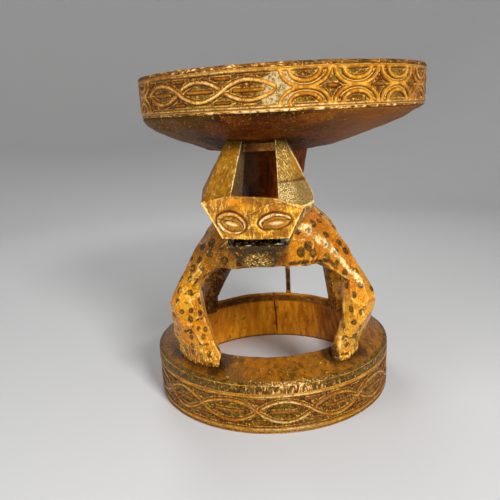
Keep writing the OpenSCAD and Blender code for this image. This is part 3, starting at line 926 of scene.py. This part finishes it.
# Lines of painted shadow, each with its width: along the chest's lower edge, near the right knee and in the
# left paw's hollow.
DARK_CUTS = [([(5, -113, 193), (22, -113, 195), (39, -105, 194), (51, -107, 193), (57, -108, 186),
               (63, -106, 176), (66, -100, 166)], 3.2),
             ([(-126, -119, 155), (-116, -121, 152), (-103, -111, 149)], 1.6),
             ([(49, -113, 91), (54, -111, 70)], 10)]
# The shoulder's pale band: flaked wear and a painted highlight along the ridge.
SHOULDER_WEAR = [(23, -103, 231), (31, -102, 226), (37, -102, 220), (46, -102, 211), (55, -104, 204),
                 (65, -106, 193), (77, -111, 179), (86, -115, 167)]
CHEST_SPOTS = [
    (26, -113, 214), (18, -113, 206), (32, -113, 204), (47, -106, 197), (48, -92, 221), (62, -92, 211),
    (67, -111, 179), (70, -111, 164), (85, -115, 166), (77, -119, 156), (33, -91, 235), (70, -94, 201),
    (79, -108, 181), (-98, -93, 212), (-88, -104, 207), (-102, -102, 198), (-71, -113, 200),
    (-111, -103, 188), (-113, -111, 178), (-106, -111, 175), (-113, -116, 163), (-86, -101, 218),
    (-99, -108, 189), (-60, -113, 212), (-124, -120, 140), (-113, -121, 142), (-104, -113, 136),
    (-115, -120, 131), (-123, -115, 115), (-116, -116, 115), (-106, -118, 118), (-99, -114, 116),
    (-116, -115, 106), (-101, -117, 107), (-115, -111, 95), (-104, -119, 99)]


def trunk():
    rings = []
    for y, half_width, top, bottom in TRUNK_COURSE:
        half = [(half_width * a, bottom + (top - bottom) * b) for a, b in TRUNK_OUTLINE]
        both = half + [(-a, b) for a, b in half[1:]][::-1]
        rings.append(np.array([(BASE_X + a, y, b) for a, b in both]))
    points, faces = loft(rings)
    return points, [f[::-1] for f in faces]


def paw_place(side, degrees, y_side):
    """The middle of a paw, which stands at a turn round the ring."""
    turn = math.radians(degrees)
    return BASE_X + side * PAW_REACH * math.sin(turn), y_side * PAW_REACH * math.cos(turn)


def leg(rings, course, side, stance, knee):
    """A leg through the rings of its lower half, and on from the knee up into the body."""
    reach, y, z, w = knee
    x = stance + side * reach
    upper = [outline(x - side * a * reach, y * (1 - b), z + c * (BACK - z), w * d, w * e)
             for a, b, c, d, e in course]
    return loft(rings + upper)


def front_leg(side):
    reach, knee_y, knee_z, w = FRONT_KNEE
    knee = FRONT_STANCE + side * reach
    degrees, paw, slim = (44, 17.5, 1.2) if side > 0 else (41, 28, 2.4)
    x, y = paw_place(side, degrees, -1)
    rise = knee_z - PAW_Z
    rings = [outline(x + slim * side, y, PAW_Z - 14, paw - slim, 12.5, 0.75 * side),
             outline(x, y, PAW_Z + 0.12 * rise, paw, 14, 0.7 * side),
             outline((x + knee) / 2, y, PAW_Z + 0.333 * rise, 0.91 * paw, 0.9 * w, 0.5 * side),
             outline(knee - side * 0.1 * w, knee_y, PAW_Z + 0.667 * rise, 0.43 * (paw + w), w, 0.15 * side)]
    return leg(rings, FRONT_COURSE, side, FRONT_STANCE, FRONT_KNEE)


def rear_leg(side):
    reach, knee_y, knee_z, w = REAR_KNEE
    knee = REAR_STANCE + side * reach
    x, y = paw_place(side, 52, 1)
    rise = knee_z - PAW_Z
    rings = [outline(x, y, PAW_Z - 9, 15.5, 16.4), outline(x, 0.99 * y, PAW_Z + 0.21 * rise, 16.4, 16.4),
             outline((x + knee) / 2, 1.06 * knee_y, PAW_Z + 0.606 * rise, 0.9 * w, 0.95 * w)]
    return leg(rings, REAR_COURSE, side, REAR_STANCE, REAR_KNEE)


def in_head(corners):
    """Corners in the head's own frame, carried to their place."""
    c, s = math.cos(HEAD_TURN), math.sin(HEAD_TURN)
    return np.asarray(corners, float) @ [[c, -s, 0], [s, c, 0], [0, 0, 1]] + HEAD_PLACE


def brow(x, y, z, lean=0):
    """A head corner carried over by the lean and drop of the brow."""
    return (x - 5 * lean, y, z - 10 * z / 43 * x / 126)


def neck():
    front = in_head([brow(-43, 58, 30), brow(43, 58, 30), (-28, 58, -13), (28, 58, -13)])
    back = [(BASE_X + a, -60, b) for a, b in ((-40, 202), (40, 202), (-37, 254), (37, 254))]
    return hull_of(np.concatenate([front, back]))


def mark_body(skin):
    """Marks the painted shade, light and glints, the rubbed and highlighted shoulder, the pale painted edges
    and the painted shadow lines in undercuts of the leopard's body.
    """
    p = skin.points
    x, y, z = p.T
    facing = skin.normals(skin.eased(12))
    hollow = ((skin.eased(70) - p) * facing).sum(1)
    out = (p - [BASE_X, 0, 0]) * [1, 1, 0]
    reach = np.linalg.norm(out, axis=1)
    inward = -(facing * out).sum(1) / reach
    under_jaw = to_line(p[:, ::2], [(-40, 232), (-36, 205)])
    slope = (RING_TOP - BASE_WALL_TOP) / (BASE_RADIUS - HOLE_TOP_RADIUS)
    ring_z = BASE_WALL_TOP + slope * (BASE_RADIUS - reach)
    shade = 0.7 * climb(0.8, 4, hollow) + 0.9 * climb(0.4, 0.9, -facing[:, 2])
    shade += np.where(x > BASE_X, 0.9, 0.4) * climb(0.35, 0.85, inward) * (y < 10)
    behind = climb(-0.1, 0.4, inward - 0.3 * facing[:, 1]) * (y > 10) * (z < 190)
    shade += np.where(x < BASE_X, 1.1, 0.7) * behind
    shade += np.where(x > -38, 0.9, 0.5) * fall(32, 50, under_jaw) * (y < -60)
    shade += 0.9 * fall(0.5, 5, z - ring_z)
    wear = 5.5 + 7.5 * climb(208, 226, z)
    glitter_top = np.where(x > BASE_X, 150, 112)
    pale = np.min([to_line(p, line) for line in PALE_EDGES], axis=0)
    skin.marks.update(
        # Painted shade on the viewer's left upper leg, away from the light.
        dim=(x < -70) * climb(156, 182, z) * (y < 0),
        # Painted light on the lower viewer's-right foreleg.
        glow=climb(BASE_X + 40, BASE_X + 60, x) * fall(150, 165, z) * (y < 0),
        shade=np.clip(shade, 0, 1),
        # The shoulder's pale band: wear and a painted highlight.
        worn=fall(0.2 * wear, wear, to_line(p, SHOULDER_WEAR)) * (0.9 + 0.4 * waver(p, 9, 9)),
        # Painted glints on the forward-facing paws and lower legs, reaching higher on the viewer's right.
        glitter=fall(84, glitter_top, z) * (y < 0) * climb(0, 0.5, -facing[:, 1]),
        edge=fall(0.6, 2, pale + waver(p, 9, 27)),
        # Painted shadow lines in undercuts.
        cut=np.max([fall(0.5 * w, w, to_line(p, line)) for line, w in DARK_CUTS], axis=0))


def spot_body(skin):
    """Spots where the photograph has them, and by rule elsewhere."""
    p = skin.points
    rng = np.random.RandomState(8)
    seeds = [int(((p - place) ** 2).sum(1).argmin()) for place in CHEST_SPOTS]
    sizes = np.interp(p[seeds, 2], [90, 140, 185, 205], [2.7, 3.2, 3.8, 4.6])
    sizes = (rng.uniform(0.9, 1.1, len(seeds)) * sizes).tolist()
    for i in skin.scatter(10.2, 5):
        radius = rng.uniform(3, 3.9)
        gap = (np.linalg.norm(p[seeds] - p[i], axis=1) - sizes).min() - radius
        if gap > (2.2 if p[i, 1] > -60 else 4.5):
            seeds.append(int(i))
            sizes.append(radius)
    skin.spots(seeds, sizes)


def leopard_body():
    """The trunk, neck and legs, carved as one and then parted into the members they stand for."""
    shells = [trunk(), neck()]
    for side in (-1, 1):
        shells += [front_leg(side), rear_leg(side)]
    skin = fuse(shells, 1.4, 2)
    skin.hew(21, 0.9, 1.7, 7, 0.6)
    skin.roughen((0.3, 9, 5, 1), (0.15, 3, 6, 1))
    skin.mark_ridges(9)
    mark_body(skin)
    spot_body(skin)
    x, y, z = skin.points[skin.faces].mean(1).T
    wide = np.interp(y, [c[0] for c in TRUNK_COURSE], [c[1] for c in TRUNK_COURSE])
    limb = (np.abs(x - BASE_X) > 0.97 * wide) | (z < TRUNK_FOOT)
    left = x > BASE_X
    front = y < 0
    low = z < np.where(front, FRONT_KNEE[2], REAR_KNEE[2])
    high = ~low & limb
    nape = ~limb & ~low & (y < NECK_ROOT)
    members = {
        "front_left_foreleg": low & front & left, "front_right_foreleg": low & front & ~left,
        "rear_left_shank": low & ~front & left, "rear_right_shank": low & ~front & ~left,
        "front_left_upper_leg": high & front & left, "front_right_upper_leg": high & front & ~left,
        "rear_left_thigh": high & ~front & left, "rear_right_thigh": high & ~front & ~left,
        "neck": nape, "torso": ~limb & ~nape & ~low}
    coat = pelt_wood("leopard_coat", (212, 136, 12), (174, 98, 4)).close(0.12, -0.05, 0.35)
    for node, faces in members.items():
        skin.part(faces).piece(node + "_carved", coat, node, "pelt")


# The head


def eye(p, middle, half, inner_middle, inner_half, tilt, open_side):
    """The relief of one eye: a groove, a raised band, an inner groove and a long pupil.

    Returns the height in millimetres and how far each point is in a dark line, in the band, in the
    field round the pupil and in the pupil. open_side is the turn at which the outer groove fades."""
    x, _, z = p.T
    c, s = math.cos(math.radians(tilt)), math.sin(math.radians(tilt))
    gaps = []
    ovals = (middle, half), (inner_middle, inner_half), (inner_middle, (0.5 * inner_half[0], 2))
    for (across, up), (a, b) in ovals:
        u = (x - across) * c + (z - up) * s + 0.6 * waver(p, 6, 81)
        w = (z - up) * c - (x - across) * s
        gaps.append(ellipse_gap(u, w, a, b * np.maximum(1 - 0.14 * (u / a) ** 2, 0.3)))
    outer = gaps[0] + 0.5 * waver(p, 6, 82)
    inner = gaps[1] + 0.4 * waver(p, 5, 84)
    pupil = gaps[2]
    around = np.arctan2(z - middle[1], x - middle[0])
    fade = 1 - 0.8 * climb(0.2, 0.9, np.cos(around - math.radians(open_side)))
    groove = fade * strand(outer - 0.3, 3)
    band = fall(-1.6, 0.2, outer) * climb(-0.2, 1.2, inner)
    field = fall(-2, 0, inner)
    lens = fall(-1.2, 0.8, pupil)
    lid = climb(-2, 3, z - inner_middle[1])
    relief = -1.6 * groove - 1.3 * strand(inner, 2.6) + 1.2 * band + 0.5 * field + 1.4 * lens
    line = groove + 0.8 * strand(inner, 2) + 0.8 * strand(pupil - 1.6, 2.2) * lid
    return [relief * (outer < 3), line * (outer < 3), band, field * (1 - lens), lens]


def head():
    corners = [(-36, 0, 0), (36, 0, 0), (-4, -5, 0), (-34, 66, 0), (34, 66, 0)]
    for side in (-1, 1):
        corners += [brow(side * 56, 12, 34.4, 1), brow(side * 25, 4, 43), brow(side * 63, 42.2, 29.7, 0.6),
                    brow(side * 53.7, 66, 33.5, 0.6)]
    skin = fuse([hull_of(corners)], 0.65, 2)
    skin.mark_ridges(12)
    rim = np.maximum(skin.marks["ridge"], 0)
    p = skin.points
    x, _, z = p.T
    facing = skin.normals()
    face = climb(0.6, 0.75, -facing[:, 1])
    eyes = (eye(p, (-25.6, 16.6), (17.4, 11.6), (-24.6, 15.5), (13.2, 7.8), -14, -110),
            eye(p, (21, 17.4), (17.8, 9.4), (22.2, 16), (14.4, 6.6), 5, -70))
    relief, line, band, field, lens = [a + b for a, b in zip(*eyes)]
    flat = p[:, ::2]
    nose = to_line(flat, [(-9.3, 32), (-7.2, 23), (-5.6, 15), (-3.1, 2)]) + 0.4 * waver(p, 6, 83)
    ridge = to_line(flat, [(-5.6, 27), (-3.6, 17), (-0.8, 2)])
    brows = to_line(flat, [(-5.4, 26.5), (3.3, 30.3), (12.9, 34.3), (21.6, 37), (30, 37.5), (38.2, 34),
                           (47, 30)])
    leaf = ellipse_gap((x + 1.4) * 0.8 + (z - 25) * 0.6, (z - 25) * 0.8 - (x + 1.4) * 0.6, 4.6, 1.9)
    leaf = fall(-0.8, 0.5, leaf)
    strokes = climb(0.2, 0.6, waver(p * [1, 0.2, 0.3], 2.2, 71)) * (x > 4) * climb(1, 2.2, brows)
    strokes = strokes * fall(5, 8, brows) * (z < 36.5)
    relief += 0.9 * strand(ridge, 3) + 0.8 * strand(brows, 2.6)
    relief -= 0.9 * strand(nose, 4.5) + 0.6 * strokes + 0.8 * leaf
    pits = 0.35 * waver(p, 5, 51) + 0.18 * waver(p, 2.2, 52)
    skin.points = p + (face * relief + pits)[:, None] * facing
    skin.mark_ridges(14)
    skin.marks["ridge"] = np.where(face > 0.5, 0.6, 1) * skin.marks["ridge"] + 0.6 * rim
    lower = fall(11, 20, z)
    cheek = to_line(p, [brow(-56, 12, 34.4, 1), (-36, 0, 0)])
    jaw_edge = to_line(p, [brow(56, 12, 34.4, 1), (36, 0, 0), (-36, 0, 0)]) + 1
    top_edge = to_line(p, [brow(-25, 4, 43), brow(25, 4, 43), brow(56, 12, 34.4, 1)]) + 1.6
    skin.marks.update(
        facet=0.4 + 0.4 * waver(p * [1, 1, 0.6], 12, 4),
        # Painted glints on the face.
        glitter=0.5 * face * climb(0.1, 0.5, waver(p, 11, 6)),
        line=face * np.clip(line + 0.55 * strand(nose, 3.4) + 0.6 * strokes + 0.6 * leaf, 0, 1),
        band=face * band,
        # Pale cream on the eye bands: paint, broken into specks that are painted glints.
        pale=face * band * np.where(x < -3, 0.3 + 0.7 * lower, 1 - 0.5 * lower),
        # Painted shade along the face's top edge.
        crown=face * climb(30, 38, z) * hump(x, 6, 24),
        field=face * field,
        # Pale on the nose ridge and brows: wear and painted highlight.
        worn=face * np.clip(0.8 * strand(ridge, 2.4) + 0.65 * strand(brows, 2), 0, 1),
        lens=face * lens,
        blush=face * hump(x, -20, 12) * hump(z, 37, 8),
        edge=face * fall(1, 4, np.min([cheek, jaw_edge, top_edge], axis=0)),
        shade=(1 - face) * np.clip(0.45 + 0.6 * climb(0.2, 0.9, -facing[:, 2]), 0, 1))
    seeds = skin.scatter(14, 12, (face < 0.3) & (z < 34))
    skin.spots(seeds, np.full(len(seeds), 4.2))
    skin.marks["spot"] = np.where((face > 0.3) | (z > 36), 3, skin.marks["spot"])
    skin.points = in_head(skin.points)
    wood = pelt_wood("face_wood", (200, 136, 22), (148, 88, 9))
    over, mark, mix, noise, ragged = wood.over, wood.mark, wood.mix, wood.noise, wood.ragged
    stroke = noise((420, 420, 110), 4, 0.65)
    over(stroke.above(0.52, 0.64) * 0.55, (112, 62, 10))
    over(stroke.below(0.4, 0.46) * 0.5, (248, 204, 84))
    over(mark("blush") * 0.8, (216, 132, 6))
    over(noise(120, 4, 0.7).above(0.51, 0.58) * 0.7, (114, 68, 10))
    over(ragged(mark("edge"), 1, 2.2).above(0.4, 1.1) * 0.8, (246, 214, 136))
    over(mark("field") * 0.7, mix(wood.patch.above(0.4, 0.6), (104, 62, 12), (156, 104, 24)))
    # Painted shade along the face's top edge.
    over(ragged(mark("crown"), 0.6).above(0.2, 0.9) * 0.7, (112, 62, 10))
    over(mark("band") * 0.7, (204, 128, 46))
    # Pale cream specks on the eye bands: paint and painted glints.
    over(mark("pale") * noise(300, 3, 0.7).above(0.46, 0.54) * 0.95, (250, 220, 168))
    over(mark("lens") * 0.75, mix(wood.rag.above(0.4, 0.5), (220, 146, 76), (246, 204, 146)))
    over(ragged(mark("line"), 0.5).above(0.3, 1) * 0.85, (64, 26, 5))
    skin.piece("leopard_head", wood.close(0.1, shine=0.35), "head", "face")


def block(*corners):
    """The convex block through some corners and their mirror images."""
    return hull_of([(side * x, y, z) for side in (-1, 1) for x, y, z in corners])


def lower_jaw():
    chin = block((34, 2, -9), (16.7, 14, -35), (34, 66, -9), (20.8, 60, -35))
    root = block((33.5, 15, -11), (33.5, 15, 0.8), (33.5, 64, -11), (33.5, 64, 0.8))
    tongue = block((26, 4, -8.6), (26, 5, -6.4), (26, 9, -5.2), (26, 17, -5.2), (26, 17, -10))
    skin = fuse([chin, root, tongue], 0.8, 2)
    skin.hew(10, 0.7, 0.9, 17)
    skin.roughen((0.45, 5, 44, 1), (0.25, 2.2, 45, 1))
    skin.mark_ridges(10)
    x, _, z = skin.points.T
    facing = skin.normals(skin.eased(6))
    # The mouth's inside is painted near black as shade, with painted highlight streaks.
    wet = climb(-10.5, -8.5, z)
    bulge = np.hypot(x / 17, (z + 29) / 11)
    # Painted light and glints on the chin's front.
    skin.marks.update(wet=wet, glow=fall(0.75, 1.15, bulge) * climb(0.3, 0.6, -facing[:, 1]),
                      flank=climb(0.4, 0.65, np.abs(facing[:, 0])) * (1 - wet))
    skin.points = in_head(skin.points)
    wood = facet_wood("jaw_wood", (70, 42, 10), UMBER, SOOT, BRONZE, 0.8)
    over, noise = wood.over, wood.noise
    wet, glow, flank = (wood.mark(name) for name in ("wet", "glow", "flank"))
    over(wood.rag.above(0.5, 0.62) * 0.7, OLIVE)
    over(noise(300, 4, 0.75).above(0.6, 0.66) * 0.8, (236, 156, 34))
    # On the chin's front: a bronze patch of painted light, partly wear, and pale painted glints.
    over(glow * wood.rag.above(0.4, 0.55) * 0.75, BRONZE)
    over(glow * noise(400, 4, 0.75).above(0.56, 0.61) * 0.95, (250, 224, 140))
    over(flank * 0.85, (96, 42, 8))
    over(flank * noise((300, 60, 500), 3, 0.6).above(0.52, 0.62) * 0.8, HONEY)
    # Painted shade in the mouth.
    over(wet, (9, 7, 4))
    # Painted highlight: pale streaks in the mouth.
    over(wet * noise((110, 110, 460), 3, 0.7).above(0.56, 0.6) * 0.75, (190, 182, 160))
    skin.piece("lower_jaw_carved", wood.close(0.25, -0.1), "lower_jaw", "jaw")


def ear(side, top_width, node, material):
    """A tall wedge from the brow to the seat; side is 1 for the left ear and -1 for the right one."""
    corners = [brow(side * 25, 4.5, 42.5), brow(side * 55, 12.5, 33.5, 1), brow(side * 62, 42.2, 28.8, 0.6),
               brow(side * 62, 42.2, 43.9, 0.6), brow(side * 25, 65, 31.5), brow(side * 51.5, 65, 31.5, 0.6)]
    top = 105
    corners += [(side * x, y, top) for y in (50, 66) for x in (17.5, 17.5 + top_width)]
    skin = fuse([hull_of(corners)], 0.75, 1)
    skin.hew(18, 0.4, 0.5, 61 + side)
    skin.roughen((0.25, 4, 61, 0.2), (0.15, 2, 62, 1))
    skin.mark_ridges(11)
    p = skin.points
    x, _, z = p.T
    level = z + 1.5 * waver(p, 12, 63)
    rim = to_line(p, [corners[1], brow(side * 62, 42.2, 36, 0.6), corners[3], corners[7]])
    skin.marks.update(
        low=fall(54, 56, level), seam=strand(level - 56, 3),
        # The high mark sets painted shade at the ear tops, under the seat.
        side=climb(0.5, 0.75, -side * skin.normals()[:, 0]), high=climb(82, 100, z),
        inner=fall(4, 24, side * x - 25 + 7.5 * (z - 42) / 63),
        rim=fall(0.8, 2.2, rim + 0.6 * waver(p, 6, 64)))
    skin.points = in_head(p)
    skin.piece(node + "_carved", material, node, "ears")


def ear_wood(name, light, middle, speckle):
    """A smooth ear with fine knife strokes; speckle adds a hatched inner edge and a speckled foot."""
    wood = Wood(name, light, middle, OLIVE, 0.3)
    over, mark, noise, ragged = wood.over, wood.mark, wood.noise, wood.ragged
    hatch = noise((460, 460, 60), 3, 0.7, 0.3)
    over(hatch.above(0.52, 0.6) * 0.55, (96, 64, 10))
    over(hatch.below(0.38, 0.44) * 0.4, (214, 170, 84))
    inner = ragged(mark("inner"), 0.5).above(0.1, 0.7) * speckle
    over(inner * 0.6, (112, 84, 24))
    over(inner * noise((820, 820, 240), 3, 0.7, -0.35).above(0.52, 0.6) * 0.75, (222, 192, 122))
    cross = noise((760, 760, 560), 3, 0.75)
    low = mark("low") * speckle
    over(low * 0.75, (96, 74, 28))
    over(cross.above(0.48, 0.56) * low * (0.3 + 0.55 * inner), (220, 194, 136))
    over(mark("seam") * speckle * 0.7, UMBER)
    over(mark("side") * 0.85, (64, 46, 22))
    over(mark("side") * cross.above(0.5, 0.58) * 0.7, (164, 136, 92))
    # Painted shade at the ear tops, under the seat.
    over(mark("high") * 0.7, (50, 40, 8))
    over(ragged(mark("ridge"), 0.4, 0.5).above(0.14, 0.36) * 0.8, CREAM)
    over(ragged(mark("rim"), 0.8, 1.8).above(0.2, 0.9) * 0.75, CREAM)
    return wood.close(0.08, shine=0.35)


# Pillar, lug and tail


def pillar():
    rings = []
    for z in (240, 260, 290, 318, 332):
        half = 38 + 12 * (z - 260) / 57
        rings.append(outline(PILLAR_X, 0, z, half, half * 0.8, 0, 12))
    skin = fuse([loft(rings)], 1.7, 2)
    skin.hew(17, 0.7, 1, 23)
    skin.roughen((0.5, 5, 24, 0.15))
    skin.mark_ridges(6)
    p = skin.points
    # A climb from left to right for the pillar's painted shadow and light.
    skin.marks["east"] = climb(-52, 22, p[:, 0] + 3 * waver(p * [1, 1, 0.1], 5, 25))
    wood = facet_wood("pillar_wood", (112, 40, 4), (72, 18, 3), MAROON, AMBER, 0.5)
    east = wood.mark("east")
    # Painted shadow on the pillar's left, painted light on its right.
    wood.over(east.below(0, 0.3) * 0.9, (10, 4, 2))
    wood.over(east.above(0.4, 0.9) * 0.8, (150, 74, 12))
    wood.over(wood.noise((260, 260, 9), 4, 0.6).above(0.5, 0.6) * 0.7, (40, 5, 3))
    skin.piece("pillar_hewn", wood.close(0.02, 0.1, 0.2), "pillar", "pillar")


def ear_lug():
    skin = fuse([block((23, 54, 86.4), (23, 54, 104), (23, 110, 86.4), (23, 110, 104))], 1, 1)
    skin.hew(10, 0.5, 0.6, 29)
    skin.mark_ridges(6)
    skin.points = in_head(skin.points)
    wood = facet_wood("lug_wood", (150, 84, 16), (116, 58, 10), RUSSET, STRAW)
    skin.piece("ear_lug_hewn", wood.close(0.2), "ear_lug", "pillar")


TAIL_COURSE = [(25, 123, 69, 7, 5), (25, 123, 74, 5.5, 4.5), (25, 123, 81, 3.6, 3.6),
               (25, 123, 111, 3.5, 3.5), (24, 126, 151, 3.5, 3.5), (18.5, 126, 197, 4.5, 5),
               (10, 110, 218, 5.5, 7.5), (5.5, 90, 228, 5.5, 9.5)]


def tail():
    skin = fuse([loft([outline(BASE_X + x, *rest) for x, *rest in TAIL_COURSE])], 0.8, 3)
    skin.hew(8, 0.5, 0.4, 31)
    skin.mark_ridges(6)
    wood = facet_wood("tail_wood", CHESTNUT, RUSSET, SOOT, HONEY)
    skin.piece("tail_carved", wood.close(0.25), "tail", "tail")


stand_camera()
stand_stage()
seat_rim()
seat_bowl()
base_ring()
leopard_body()
head()
lower_jaw()
ear(-1, 16, "right_ear", ear_wood("right_ear_wood", (164, 108, 18), (136, 84, 10), 0))
ear(1, 8, "left_ear", ear_wood("left_ear_wood", (170, 114, 24), (140, 88, 12), 1))
pillar()
ear_lug()
tail()

bpy.context.scene.view_settings.view_transform = "Standard"
